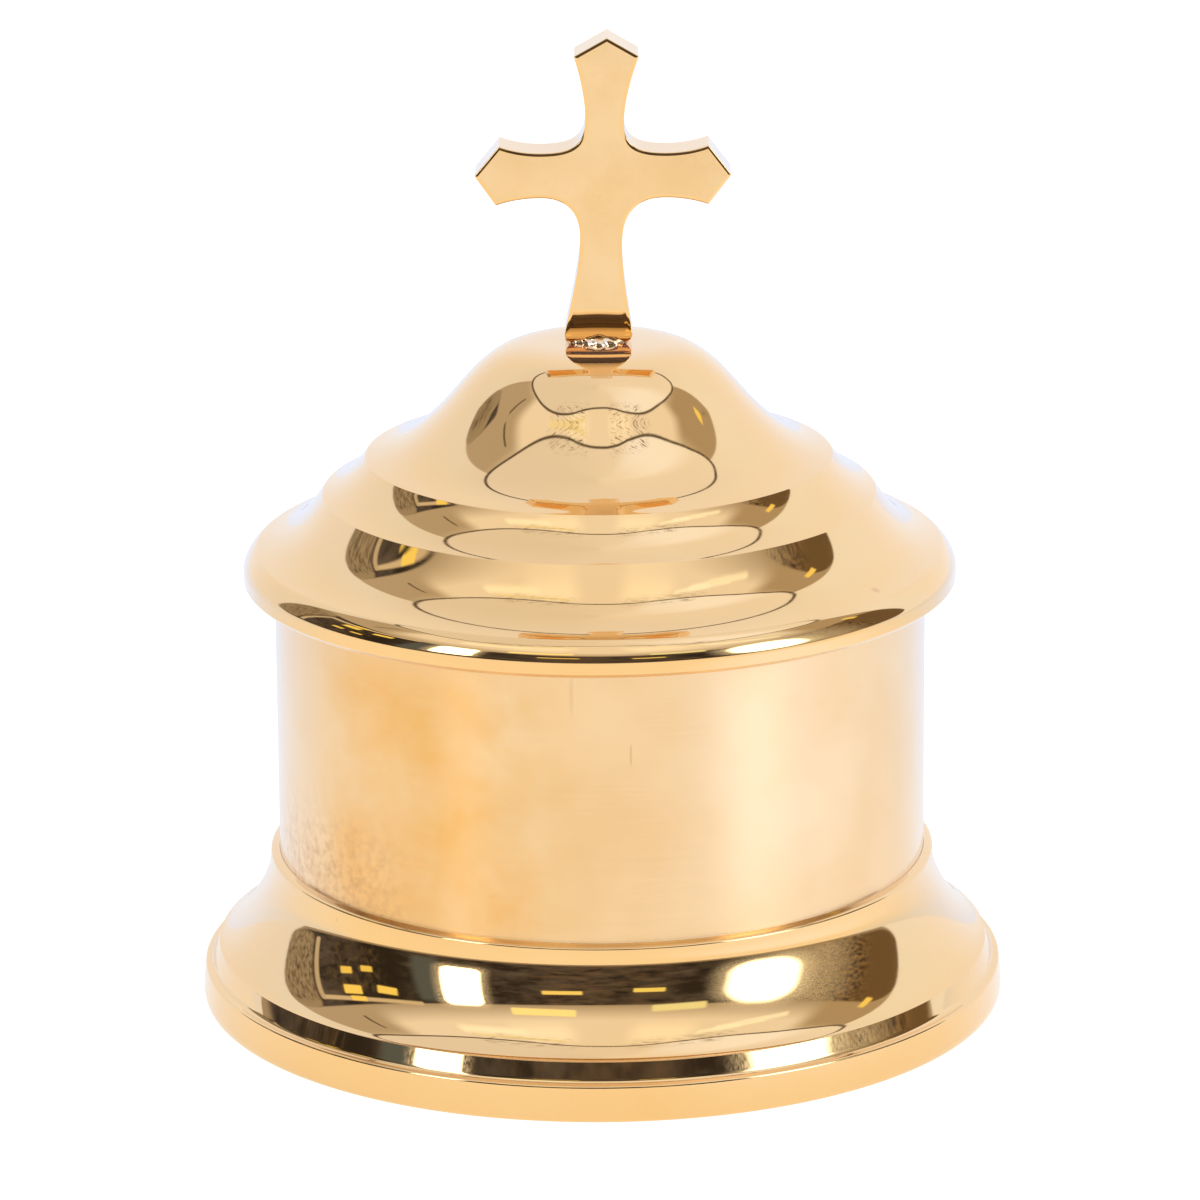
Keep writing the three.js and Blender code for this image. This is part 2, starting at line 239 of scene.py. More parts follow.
def brass(name, light, deep, cloud, rough, line, relief, lacquer):
    """Brass in one of its finishes. Its tone drifts between two colours over clouds of that
    many mm, its roughness between two values, and the wheel's lines run round the axis, that
    many mm apart and of that relief. Returns the material and the nodes that others join."""
    material = bpy.data.materials.new(name)
    material.use_nodes = True
    tree = material.node_tree
    tree.nodes.clear()
    place = add(tree, "ShaderNodeTexCoord").outputs["Object"]
    clouds = add(tree, "ShaderNodeTexNoise", {
        "Vector": place, "Scale": 1000 / cloud, "Detail": 3.0, "Roughness": 0.55})
    tone = add(tree, "ShaderNodeMapRange", {0: clouds.outputs["Fac"], 1: 0.35, 2: 0.65})
    colour = add(tree, "ShaderNodeMix", {
        0: tone.outputs[0], 6: linear(light), 7: linear(deep)}, data_type="RGBA")
    parts = add(tree, "ShaderNodeSeparateXYZ", {0: place})
    flat = add(tree, "ShaderNodeCombineXYZ", {0: parts.outputs[0], 1: parts.outputs[1]})
    radius = add(tree, "ShaderNodeVectorMath", {0: flat.outputs[0]}, operation="LENGTH")
    front = add(tree, "ShaderNodeMath", {0: parts.outputs[1], 1: -1.0}, operation="MULTIPLY")
    angle = add(tree, "ShaderNodeMath", {0: parts.outputs[0], 1: front.outputs[0]},
                operation="ARCTAN2")
    round_place = add(tree, "ShaderNodeCombineXYZ", {
        0: radius.outputs["Value"], 1: angle.outputs[0], 2: parts.outputs[2]})
    stretched = add(tree, "ShaderNodeVectorMath", {
        0: round_place.outputs[0], 1: (1000 / line, 4.0, 1000 / line)}, operation="MULTIPLY")
    lines = add(tree, "ShaderNodeTexNoise", {
        "Vector": stretched.outputs[0], "Scale": 1.0, "Detail": 3.0, "Roughness": 0.6})
    wear = add(tree, "ShaderNodeMath", {0: clouds.outputs["Fac"], 1: lines.outputs["Fac"]},
               operation="MULTIPLY")
    gloss = add(tree, "ShaderNodeMapRange", {
        0: wear.outputs[0], 1: 0.15, 2: 0.38, 3: rough[0], 4: rough[1]})
    bump = add(tree, "ShaderNodeBump", {
        "Strength": 1.0, "Distance": relief / 1000, "Height": lines.outputs["Fac"]})
    shader = add(tree, "ShaderNodeBsdfPrincipled", {
        "Base Color": colour.outputs[2], "Metallic": 1.0, "Roughness": gloss.outputs[0],
        "Normal": bump.outputs[0], "Coat Weight": lacquer, "Coat Roughness": 0.03,
        "Sheen Weight": 0.35 * lacquer, "Sheen Roughness": 0.3,
        "Sheen Tint": (0.95, 0.97, 1.0, 1.0)})
    add(tree, "ShaderNodeOutputMaterial", {0: shader.outputs[0]})
    return material, dict(tree=tree, shader=shader, place=place, angle=angle.outputs[0],
                          height=parts.outputs[2])


# Brass, turned and mopped to a mirror, then lacquered: clear reflections with a faint grain.
# The mop's lines are some 0.03 mm apart, too fine to show, and are drawn at 0.3 mm.
MIRROR, mirror_nodes = brass("Brass mopped to a mirror and lacquered", "#F5CD8E", "#F3C884",
                             30, (0.02, 0.06), 0.3, 0.00002, 1.0)


def stain(nodes, mask, colour):
    """Lays one more tone over a finish where the mask is 1."""
    shader, tree = nodes["shader"], nodes["tree"]
    below = shader.inputs["Base Color"].links[0].from_socket
    tone = add(tree, "ShaderNodeMix", {0: mask, 6: below, 7: linear(colour)}, data_type="RGBA")
    tree.links.new(tone.outputs[2], shader.inputs["Base Color"])


# Three small stains under the lacquer: two at the top of the foot's sweep, one on the brim.
for at, size in (((-35.1, -28.2, 19.0), 0.5), ((-32.7, -31.4, 17.6), 0.35),
                 ((35.8, -25.6, 62.9), 0.8)):
    off = add(mirror_nodes["tree"], "ShaderNodeVectorMath", {
        0: mirror_nodes["place"], 1: tuple(c / 1000 for c in at)}, operation="DISTANCE")
    near = add(mirror_nodes["tree"], "ShaderNodeMapRange", {
        0: off.outputs["Value"], 1: size / 1000, 2: size / 4000, 3: 0.0, 4: 0.5})
    stain(mirror_nodes, near.outputs[0], "#C98A4A")


def foot_outline():
    bore = DRUM_R + 0.02
    neck_z = FOOT_LEDGE_Z - 0.6
    top_r, top_z = PLINTH_TOP
    outside = joined(
        sweep((bore, FOOT_LEDGE_Z), 19, 0.7, (FOOT_NECK_R, neck_z), 90, 0.42, steps=16),
        sweep((FOOT_NECK_R, neck_z), 90, 6.3, SWEEP_END, 12, 1.5, steps=64),
        bezier(FILLET_END, (52.64, 5.06), COVE_END, steps=6),
        bezier((top_r - 0.3, top_z + 0.02), PLINTH_TOP, (top_r + 0.035, top_z - 0.3), steps=8),
        sweep((top_r + 0.035, top_z - 0.3), 83, 1.0, (FOOT_R, 1.3), 88.5, 1.0, steps=12),
        bezier((FOOT_R, 1.3), (FOOT_R, 0.05), (FOOT_R - 0.7, 0), steps=8),
    )
    underside = [(PLATE_SEAT_R + 0.5, 0), (PLATE_SEAT_R + 0.1, 2.5),
                 (PLATE_SEAT_R + 0.1, PLATE_SEAT_Z), (LIP_R, PLATE_SEAT_Z),
                 (LIP_R, DRUM_BOTTOM_Z - 0.1), (bore, DRUM_BOTTOM_Z - 0.1)]
    return eased((outside + underside)[::-1])


foot = turned("foot", foot_outline(), MIRROR)
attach(foot, "box")
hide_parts("foot_moulding")


# The drum
# A straight length of brass tube, smoothed on the lathe with fine abrasive, so its lines run
# round it and draw every light out into an upright bar. It is sunk in the foot's bore.

DRUM_WALL = 1.5
DRUM_TOP_Z = 60.0

# Tube brass smoothed round with fine abrasive: no clear image, only soft upright bars of light.
DRUM, drum_nodes = brass("Brass tube smoothed round and lacquered", "#F8D8A8", "#F5CF98",
                         22, (0.21, 0.24), 0.3, 0.000004, 1.0)
tree = drum_nodes["tree"]
tangent = add(tree, "ShaderNodeTangent", direction_type="RADIAL", axis="Z")
drum_nodes["shader"].inputs["Anisotropic"].default_value = 0.9
drum_nodes["shader"].inputs["Anisotropic Rotation"].default_value = 0.25
tree.links.new(tangent.outputs[0], drum_nodes["shader"].inputs["Tangent"])


def area(nodes, angles, heights, soft_angle, soft_height, speck, low, high):
    """A soft-edged area of the drum between two angles from the front, in degrees, and two
    heights in mm, broken up by noise with specks of that many mm."""
    tree = nodes["tree"]
    mask = None
    for value, (start, end), soft in (
            (nodes["angle"], [math.radians(a) for a in angles], math.radians(soft_angle)),
            (nodes["height"], [h / 1000 for h in heights], soft_height / 1000)):
        for edge, sign in ((start, 1), (end, -1)):
            ramp = add(tree, "ShaderNodeMapRange", {
                0: value, 1: edge - sign * soft, 2: edge + sign * soft},
                interpolation_type="SMOOTHSTEP").outputs[0]
            mask = ramp if mask is None else add(
                tree, "ShaderNodeMath", {0: mask, 1: ramp}, operation="MULTIPLY").outputs[0]
    specks = add(tree, "ShaderNodeTexNoise", {
        "Vector": nodes["place"], "Scale": 1000 / speck, "Detail": 5.0, "Roughness": 0.62})
    specks = add(tree, "ShaderNodeMapRange", {0: specks.outputs["Fac"], 1: low, 2: high})
    return add(tree, "ShaderNodeMath", {0: mask, 1: specks.outputs[0]},
               operation="MULTIPLY").outputs[0]


# The lacquer has yellowed in clouds on the left. Low down there handling has left a brown
# bloom, and in the middle two short upright scratches.
stain(drum_nodes, area(drum_nodes, (-56, -8), (19, 56), 9, 6, 16, 0.26, 0.62), "#F3BE70")
stain(drum_nodes, area(drum_nodes, (-80, -40), (18, 30), 10, 7, 1.4, 0.42, 0.75), "#CF9A5E")
stain(drum_nodes, area(drum_nodes, (4.9, 5.2), (45, 47.4), 0.15, 0.4, 30, 0.0, 1.0), "#D6B17C")
stain(drum_nodes, area(drum_nodes, (-5.2, -4.7), (52, 56.5), 0.3, 1.5, 30, 0.0, 1.4), "#DDBB8A")

drum_inner = DRUM_R - DRUM_WALL
drum = turned("drum", eased([
    (drum_inner, DRUM_BOTTOM_Z), (DRUM_R, DRUM_BOTTOM_Z),
    (DRUM_R, DRUM_TOP_Z - 0.3), (DRUM_R - 0.3, DRUM_TOP_Z),
    (drum_inner + 0.3, DRUM_TOP_Z), (drum_inner, DRUM_TOP_Z - 0.3)], 0.1), DRUM)
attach(drum, "box")
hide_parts("drum_wall")


# The floor inside the drum
# A disc of sheet brass brazed into the tube, with the brazing drawn into a small hollow
# fillet round its edge. Inside, the brass is only lightly buffed.

FLOOR_Z = 9.5
FLOOR_THICK = 1.5

# Sheet brass as it leaves the buff: duller and darker than outside, with faint rings.
INSIDE, _ = brass("Sheet brass, spun and lightly buffed", "#E6C488", "#DDB774",
                  18, (0.26, 0.38), 0.35, 0.0002, 0.6)
floor_r = drum_inner - 0.05
floor_disc = turned("drum_floor_disc", eased(joined(
    [(0, FLOOR_Z - FLOOR_THICK), (floor_r, FLOOR_Z - FLOOR_THICK), (floor_r, FLOOR_Z + 0.9)],
    bezier((floor_r, FLOOR_Z + 0.9), (floor_r, FLOOR_Z), (floor_r - 0.9, FLOOR_Z), steps=8),
    [(0, FLOOR_Z)]), closed=False), INSIDE, closed=False)
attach(floor_disc, "box")
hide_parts("drum_floor")


# The stud, base plate, washer and nut
# A flanged stud brazed under the floor pulls the drum down on the foot through a disc of
# sheet brass. Washer and nut are plain machined brass, and none of it shows from above.

STUD_R = 2.5
STUD_PITCH = 0.8
STUD_FLANGE_R = 6.5
STUD_FLANGE_THICK = 0.9
STUD_END_Z = 1.0
PLATE_THICK = 1.6
WASHER_THICK = 0.8
WASHER_R = 6.0
NUT_ACROSS = 8.0
NUT_TALL = 2.7

# Bare brass bar straight off the lathe: the tool's rings and a browner tone, as it tarnishes.
MACHINED, _ = brass("Brass bar as machined", "#CDA762", "#B8904C",
                    6, (0.3, 0.5), 0.25, 0.0006, 0.0)
# Sheet brass rubbed with abrasive pads: a soft, even shine that mirrors nothing clearly.
PLATE, _ = brass("Sheet brass, satin", "#DDBB80", "#D3AD6C",
                 14, (0.3, 0.42), 0.35, 0.0004, 0.6)
flange_under = FLOOR_Z - FLOOR_THICK - STUD_FLANGE_THICK
plate_under = PLATE_SEAT_Z - PLATE_THICK
washer_under = plate_under - WASHER_THICK


def cut_thread(piece, low, high, radius, pitch, depth):
    """Cuts a thread into the plain shank of a turned piece by moving its points in."""
    for v in piece.data.vertices:
        x, y, z = (c * 1000 for c in v.co)
        r = math.hypot(x, y)
        if low < z < high and abs(r - radius) < 0.05:
            turn = math.atan2(y, x) / (2 * math.pi)
            wave = abs(((z / pitch - turn) % 1.0) * 2 - 1)
            fade = min(1.0, (z - low) / pitch, (high - z) / pitch)
            scale = (radius - depth * min(1.0, wave * 1.25) * fade) / r
            v.co.x *= scale
            v.co.y *= scale


shank = [(STUD_R, z / 10) for z in range(15, 70)]
stud = turned("stud", joined(
    [(0, STUD_END_Z), (STUD_R - 0.4, STUD_END_Z), (STUD_R, STUD_END_Z + 0.4)], shank,
    [(STUD_R, flange_under)], eased([
        (STUD_R, flange_under), (STUD_FLANGE_R, flange_under),
        (STUD_FLANGE_R, FLOOR_Z - FLOOR_THICK), (0, FLOOR_Z - FLOOR_THICK)], closed=False)),
    MACHINED, closed=False, around=AROUND_SMALL)
cut_thread(stud, STUD_END_Z + 0.4, flange_under - 0.2, STUD_R, STUD_PITCH, 0.42)

plate = turned("base_disc", eased([
    (STUD_R + 0.3, plate_under), (PLATE_SEAT_R, plate_under), (PLATE_SEAT_R, PLATE_SEAT_Z),
    (STUD_R + 0.3, PLATE_SEAT_Z)], 0.2), PLATE)

washer = turned("foot_washer", eased([
    (STUD_R + 0.2, washer_under), (WASHER_R, washer_under), (WASHER_R, plate_under),
    (STUD_R + 0.2, plate_under)], 0.18), MACHINED, around=AROUND_SMALL)


def hex_nut(name, across, bore, low, tall, finish, around=AROUND_SMALL):
    """A nut whose corners are turned away at both ends, and whose bore is bevelled."""
    apothem = across / 2
    corner_slope = 1.73
    rows = []
    for step in range(9):
        deep = 0.62 * step / 8
        rows.append((low + deep, apothem * 0.98 + deep * corner_slope))
    rows += [(2 * low + tall - z, r) for z, r in reversed(rows)]
    bevel = 0.35
    closing = [(low + tall, bore + bevel), (low + tall - bevel, bore), (low + bevel, bore),
               (low, bore + bevel)]
    verts, faces = [], []
    rings = rows + closing
    for k, (z, limit) in enumerate(rings):
        for j in range(around):
            a = 2 * math.pi * j / around
            flat = apothem / math.cos((a + math.pi / 6) % (math.pi / 3) - math.pi / 6)
            r = min(flat, limit) if k < len(rows) else limit
            verts.append((r * math.cos(a) / 1000, r * math.sin(a) / 1000, z / 1000))
    for k in range(len(rings)):
        for j in range(around):
            a, b = k * around, ((k + 1) % len(rings)) * around
            n = (j + 1) % around
            faces.append((a + j, a + n, b + n, b + j))
    mesh = bpy.data.meshes.new(name)
    mesh.from_pydata(verts, [], faces)
    mesh.materials.append(finish)
    mesh.shade_smooth()
    mesh.set_sharp_from_angle(angle=math.radians(28))
    return new_piece(name, mesh)


nut = hex_nut("foot_nut", NUT_ACROSS, STUD_R + 0.05, washer_under - NUT_TALL, NUT_TALL, MACHINED)
for piece, node, slot in ((stud, "centre_stud", "plain_brass"),
                          (plate, "base_plate", "satin_brass"),
                          (washer, "stud_washer", "plain_brass"),
                          (nut, "stud_nut", "plain_brass")):
    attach(piece, "box")
    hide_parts(node)


# The lid
# Spun from one sheet of brass over a former: a dome whose sides run out hollow, two sharp
# steps with hollow ramps between them, and a rounded rim. Mopped to a mirror outside.

LID_SHEET = 1.2
CROWN_Z = 90.0
CROWN_HOLE_R = 1.7
DOME_TURN = (18.93, 83.42)
UPPER_STEP = (31.03, 74.67)
LOWER_STEP = (36.78, 69.71)
RIM_TOP = (45.6, 62.3)
RIM_R = 47.5
RIM_BAND_Z = (59.5, 58.2)
RIM_LOW = (47.0, 57.7)


def lid_face(fineness=1.0):
    """The lid's outside, from the hole in the crown down to the rim."""
    def steps(count):
        return max(4, round(count * fineness))
    dome = sweep((0, CROWN_Z), 0, 11.1, DOME_TURN, 50.6, 9.06, steps(60))
    return joined(
        [(CROWN_HOLE_R, CROWN_Z - 0.02)], [p for p in dome if p[0] > CROWN_HOLE_R + 0.1],
        sweep(DOME_TURN, 50.6, 9.7, UPPER_STEP, 16.2, 3.0, steps(60)),
        sweep(UPPER_STEP, 54.4, 0.56, LOWER_STEP, 21.1, 3.7, steps(40)),
        sweep(LOWER_STEP, 56.0, 5.4, RIM_TOP, 14.5, 4.6, steps(50)),
        sweep(RIM_TOP, 14.5, 0.5, (RIM_R, RIM_BAND_Z[0]), 90, 1.2, steps(30)),
        [(RIM_R, RIM_BAND_Z[1]), RIM_LOW])


def offset(line, thickness, closed=False):
    """A line moved that far to the right of the way it is walked."""
    far, last = [], len(line) - 1
    for i, p in enumerate(line):
        here = Vector(p)
        before = Vector(line[i - 1] if closed or i else p)
        after = Vector(line[(i + 1) % len(line)] if closed or i < last else p)
        along = ((here - before).normalized() + (after - here).normalized()).normalized()
        into = (here - before).normalized() if closed or i else (after - here).normalized()
        reach = thickness / max(along.dot(into), 0.5)
        far.append((here.x + along.y * reach, here.y - along.x * reach))
    return far


lid_line = lid_face(0.5)
lid_under = []
for p in offset(lid_line, LID_SHEET):
    clear = min(math.dist(p, q) for q in lid_line) > 0.96 * LID_SHEET
    if clear and (not lid_under or math.dist(p, lid_under[-1]) > 0.2):
        lid_under.append(p)
lid_under[0] = (CROWN_HOLE_R, lid_under[0][1])
lid = turned("lid", eased(
    (lid_face() + [(RIM_LOW[0] - 0.6, RIM_LOW[1] - 0.2)] + lid_under[::-1])[::-1]), MIRROR)
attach(lid, "lid")
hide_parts("lid_shell")


# The collar inside the lid
# A ring of tube and sheet soldered inside the lid. Its flange sits on the drum and its tube
# slides into it, which keeps the lid in place.

COLLAR_WALL = 1.2
COLLAR_END_Z = 52.0
FLANGE_R = 45.0
FLANGE_THICK = 1.0

collar_outer = drum_inner - 0.2
collar_inner = collar_outer - COLLAR_WALL
collar = turned("collar", eased([
    (collar_inner, COLLAR_END_Z), (collar_outer - 0.5, COLLAR_END_Z),
    (collar_outer, COLLAR_END_Z + 1.2), (collar_outer, DRUM_TOP_Z), (FLANGE_R, DRUM_TOP_Z),
    (FLANGE_R - 0.5, DRUM_TOP_Z + FLANGE_THICK), (collar_inner, DRUM_TOP_Z + FLANGE_THICK)]),
    INSIDE)
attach(collar, "lid")
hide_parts("lid_collar")


# The cross
# Sawn from 6.4 mm plate, with its broad faces rubbed down to a fine satin and its edges
# rounded on the mop. Below, it rounds under at front and back to a narrow land on the lid.

CROSS_THICK = 6.4
CROSS_FOOT_Z = CROWN_Z + 0.05
CROSS_ARM_Z = 113.0
CROSS_TOP_Z = 131.3
CROSS_REACH = 16.85
CROSS_FOOT_HALF = 4.45
CROSS_LEAN = 0.034
FOOT_ROUND_Z = 95.05
TIP_ROUND = 0.2           # radius of the points and corners of the outline

# Brass plate rubbed fine and lacquered: pale and even, with no reflection that has an edge.
SATIN, _ = brass("Brass plate, fine satin", "#F3D2A0", "#F0CB92",
                 9, (0.2, 0.26), 0.25, 0.0001, 1.0)


def cross_outline():
    foot, foot_z = CROSS_FOOT_HALF, CROSS_FOOT_Z
    under, over, point_z = CROSS_ARM_Z - 3.0, CROSS_ARM_Z + 3.0, 3.95
    right = joined(
        [(0, foot_z), (foot - 1.4, foot_z)],
        bezier((foot - 1.4, foot_z), (foot, foot_z), (foot, foot_z + 1.6), steps=10),
        bezier((foot, foot_z + 1.6), (foot - 0.6, 95.6), (2.78, 99.8), (2.78, 104.2), steps=30),
        bezier((2.78, 104.2), (2.78, 108.0), (4.6, under), (8.2, under), steps=24),
        bezier((8.2, under), (11.2, under), (13.95, CROSS_ARM_Z - point_z), steps=12),
        [(CROSS_REACH, CROSS_ARM_Z), (13.7, CROSS_ARM_Z + point_z)],
        bezier((13.7, CROSS_ARM_Z + point_z), (11.2, over), (8.2, over), steps=12),
        bezier((8.2, over), (3.8, over), (2.55, 117.3), (2.55, 120.3), steps=24),
        bezier((2.55, 120.3), (2.55, 123.8), (4.27, 128.85), steps=16),
        [(0, CROSS_TOP_Z)])
    left = [(-x, z) for x, z in right[1:-1]][::-1]
    return [(x + CROSS_LEAN * (z - foot_z), z) for x, z in right + left]


def mopped_rim():
    """How far in from the outline and how deep each line of a face's rim lies: the mop has
    tipped it a little over some tenths of a mm, and then turned it over."""
    turns = [(0.05, 3), (0.05, 6), (0.08, 10), (0.08, 13), (0.08, 16), (0.07, 20)]
    turns += [(0.03, tilt) for tilt in (30, 42, 55, 68, 82)]
    far, deep, rim = sum(s * math.cos(math.radians(t)) for s, t in turns), 0.0, []
    for step, tilt in turns:
        rim.append((far, deep))
        far -= step * math.cos(math.radians(tilt))
        deep += step * math.sin(math.radians(tilt))
    return rim + [(0.0, deep), (0.0, deep + 0.2)]


def build_cross():
    line = cross_outline()
    half = CROSS_THICK / 2
    rings = [(far, -half + deep) for far, deep in mopped_rim()]
    rings += [(far, -y) for far, y in reversed(rings)]
    shape = bmesh.new()
    loops = []
    for far, y in rings:
        inner = eased(offset(line, -far, closed=True), max(TIP_ROUND - far, 0.01))
        loops.append([shape.verts.new((x, y, z)) for x, z in inner])
    sides = []
    for a, b in zip(loops, loops[1:]):
        for i in range(len(a)):
            sides.append(shape.faces.new((a[i - 1], a[i], b[i], b[i - 1])))
    for face in sides:
        face.material_index = 1
    shape.faces.new(loops[0][::-1])
    shape.faces.new(loops[-1])

    def cut(at, across, faces):
        edges = {e for f in faces for e in f.edges}
        verts = {v for f in faces for v in f.verts}
        bmesh.ops.bisect_plane(shape, geom=[*verts, *edges, *faces], plane_co=at, plane_no=across)

    for step in range(1, 42):
        level = CROSS_FOOT_Z + (FOOT_ROUND_Z - CROSS_FOOT_Z) * step / 40
        cut((0, 0, level), (0, 0, 1), shape.faces[:])
    for step in range(-20, 21):
        low = [f for f in shape.faces
               if f.material_index == 0 and f.calc_center_median().z < FOOT_ROUND_Z + 0.1]
        cut((step * 0.2, 0, 0), (1, 0, 0), low)

    # The foot rounds under at front and back, from a line that dips towards its corners.
    under = bezier((1.1, CROSS_FOOT_Z), (2.5, CROSS_FOOT_Z + 0.4),
                   (half - 0.45, CROSS_FOOT_Z + 1.95), (half, FOOT_ROUND_Z), steps=60)

    def crease(x):
        return FOOT_ROUND_Z - 1.5 * min(1.0, abs(x) / 4.3) ** 9

    for v in shape.verts:
        tall = crease(v.co.x) - CROSS_FOOT_Z
        at = CROSS_FOOT_Z + (v.co.z - CROSS_FOOT_Z) * (FOOT_ROUND_Z - CROSS_FOOT_Z) / tall
        for (y0, z0), (y1, z1) in zip(under, under[1:]):
            if z0 - 1e-4 <= at <= z1:
                v.co.y *= (y0 + (y1 - y0) * (at - z0) / (z1 - z0)) / half
                break
    for face in shape.faces:
        middle = face.calc_center_median()
        if middle.z < crease(middle.x):
            face.material_index = 1
    bmesh.ops.scale(shape, vec=(0.001, 0.001, 0.001), verts=shape.verts)
    bmesh.ops.recalc_face_normals(shape, faces=shape.faces)
    mesh = bpy.data.meshes.new("cross_plate")
    shape.to_mesh(mesh)
    shape.free()
    mesh.materials.append(SATIN)
    mesh.materials.append(MIRROR)
    mesh.shade_smooth()
    mesh.set_sharp_from_angle(angle=math.radians(35))
    return new_piece("cross_plate", mesh)


cross = build_cross()
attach(cross, "lid")
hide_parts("cross")


# The solder under the cross
# Silver solder that ran out round the land when the cross was fixed, and set in soft lumps.
# It fills the gap between the cross's rounded foot and the crown, and shows at the front.

SOLDER_HALF = (3.95, 2.95, 1.6)      # half its width, depth and height

# Silver solder, bright where it is clean and duller where its flux was: whiter than the brass.
SOLDER, _ = brass("Silver solder as it set", "#F3E2CC", "#E9C9A0",
                  1.2, (0.06, 0.2), 0.4, 0.0, 0.0)


def build_solder():
    blob = bmesh.new()
    bmesh.ops.create_icosphere(blob, subdivisions=6, radius=1.0)
    for v in blob.verts:
        turn = math.atan2(v.co.x, -v.co.y)
        lumps = (0.07 * math.sin(3 * turn + 0.9) + 0.05 * math.sin(7 * turn + 2.0)
                 + 0.03 * math.sin(13 * turn + 4 * v.co.z))
        x, y, z = (c * size for c, size in zip(v.co, SOLDER_HALF))
        lump = 1 + lumps * (1 - v.co.z ** 2)
        v.co = (x * lump / 1000, y * lump / 1000, (z + CROWN_Z) / 1000)
    mesh = bpy.data.meshes.new("solder")
    blob.to_mesh(mesh)
    blob.free()
    mesh.materials.append(SOLDER)
    mesh.shade_smooth()
    return new_piece("solder", mesh)


solder = build_solder()
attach(solder, "lid")


# The screw and washer of the cross
# A slotted screw comes up through the crown into the cross, with a washer under its head.
# Both are plain machined brass and are seen only when the lid is turned over.

CROSS_SCREW_R = 1.45
CROSS_SCREW_END_Z = 99.0
crown_under = CROWN_Z - LID_SHEET - 0.15
cross_washer_under = crown_under - WASHER_THICK
SCREW_HEAD_R = 2.8
SCREW_HEAD_TALL = 2.0
CROSS_WASHER_R = 4.0


def cut_slot(piece, width, low, high):
    """Saws the driver's slot across the middle of a screw's head."""
    mesh = bpy.data.meshes.new("slot")
    saw = bmesh.new()
    bmesh.ops.create_cube(saw, size=1.0)
    bmesh.ops.scale(saw, vec=(0.02, width / 1000, (high - low) / 1000), verts=saw.verts)
    bmesh.ops.translate(saw, vec=(0, 0, (high + low) / 2000), verts=saw.verts)
    saw.to_mesh(mesh)
    saw.free()
    blade = new_piece("slot", mesh)
    cut = piece.modifiers.new("Slot", "BOOLEAN")
    cut.operation = "DIFFERENCE"
    cut.object = blade
    bake(piece)
    bpy.data.objects.remove(blade)
    piece.data.shade_smooth()
    piece.data.set_sharp_from_angle(angle=math.radians(30))


head_under = cross_washer_under - SCREW_HEAD_TALL
cross_washer = turned("crown_washer", eased([
    (CROSS_SCREW_R + 0.2, cross_washer_under), (CROSS_WASHER_R, cross_washer_under),
    (CROSS_WASHER_R, crown_under), (CROSS_SCREW_R + 0.2, crown_under)], 0.18),
    MACHINED, around=AROUND_SMALL)
cross_screw = turned("crown_screw", eased([
    (0, head_under), (SCREW_HEAD_R - 0.9, head_under), (SCREW_HEAD_R - 0.25, head_under + 0.3),
    (SCREW_HEAD_R, head_under + 0.9), (SCREW_HEAD_R, cross_washer_under),
    (CROSS_SCREW_R, cross_washer_under), (CROSS_SCREW_R, CROSS_SCREW_END_Z - 0.6),
    (CROSS_SCREW_R - 0.6, CROSS_SCREW_END_Z), (0, CROSS_SCREW_END_Z)], closed=False),
    MACHINED, closed=False, around=AROUND_SMALL)
cut_slot(cross_screw, 0.8, head_under - 1, head_under + 1.0)
for piece, node in ((cross_washer, "cross_washer"), (cross_screw, "cross_screw")):
    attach(piece, "lid")
    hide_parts(node)


# The press
# A loose turned plate that lies on the breads and keeps them flat. A ball knob stands in its
# middle, held from below by a countersunk screw.

PRESS_R = 37.5
PRESS_Z = 9.6
PRESS_THICK = 3.0
KNOB_TALL = 15.0
KNOB_R = 5.5
KNOB_FOOT_R = 6.0
PRESS_SCREW_R = 1.95
SINK_R = 4.0
SINK_DEEP = 1.9
KNOB_BORE_DEEP = 8.5
PRESS_SCREW_DEEP = 7.5

press_top = PRESS_Z + PRESS_THICK
press = turned("press_disc", eased([
    (SINK_R, PRESS_Z), (PRESS_R - 0.5, PRESS_Z), (PRESS_R, PRESS_Z + 0.5),
    (PRESS_R, press_top - 0.9), (PRESS_R - 0.3, press_top - 0.3), (PRESS_R - 0.9, press_top),
    (PRESS_SCREW_R + 0.2, press_top), (PRESS_SCREW_R + 0.2, PRESS_Z + SINK_DEEP)], 0.25), INSIDE)
bore_r = PRESS_SCREW_R + 0.1
ball_z = press_top + KNOB_TALL - KNOB_R
ball = [(KNOB_R * math.cos(math.radians(a)), ball_z + KNOB_R * math.sin(math.radians(a)))
        for a in range(-57, 91, 3)]
knob = turned("knob", eased(joined(
    [(0, press_top + KNOB_BORE_DEEP), (bore_r, press_top + KNOB_BORE_DEEP),
     (bore_r, press_top), (KNOB_FOOT_R, press_top), (KNOB_FOOT_R, press_top + 1)],
    bezier((5.3, press_top + 1.3), (3.1, press_top + 1.5), (3.0, press_top + 2.9),
           ball[0], steps=14), ball[1:]), closed=False), MIRROR, closed=False, around=128)
screw_end = press_top + PRESS_SCREW_DEEP
press_screw = turned("knob_screw", eased([
    (0, PRESS_Z + 0.1), (SINK_R - 0.15, PRESS_Z + 0.1), (PRESS_SCREW_R, PRESS_Z + SINK_DEEP),
    (PRESS_SCREW_R, screw_end - 0.5), (PRESS_SCREW_R - 0.5, screw_end), (0, screw_end)],
    closed=False), MACHINED, closed=False, around=AROUND_SMALL)
cut_slot(press_screw, 0.9, PRESS_Z - 1, PRESS_Z + 0.7)
for piece, node, slot in ((press, "press_plate", "inside_brass"),
                          (knob, "press_knob", "polished_brass"),
                          (press_screw, "press_screw", "plain_brass")):
    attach(piece, "press")
    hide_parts(node)


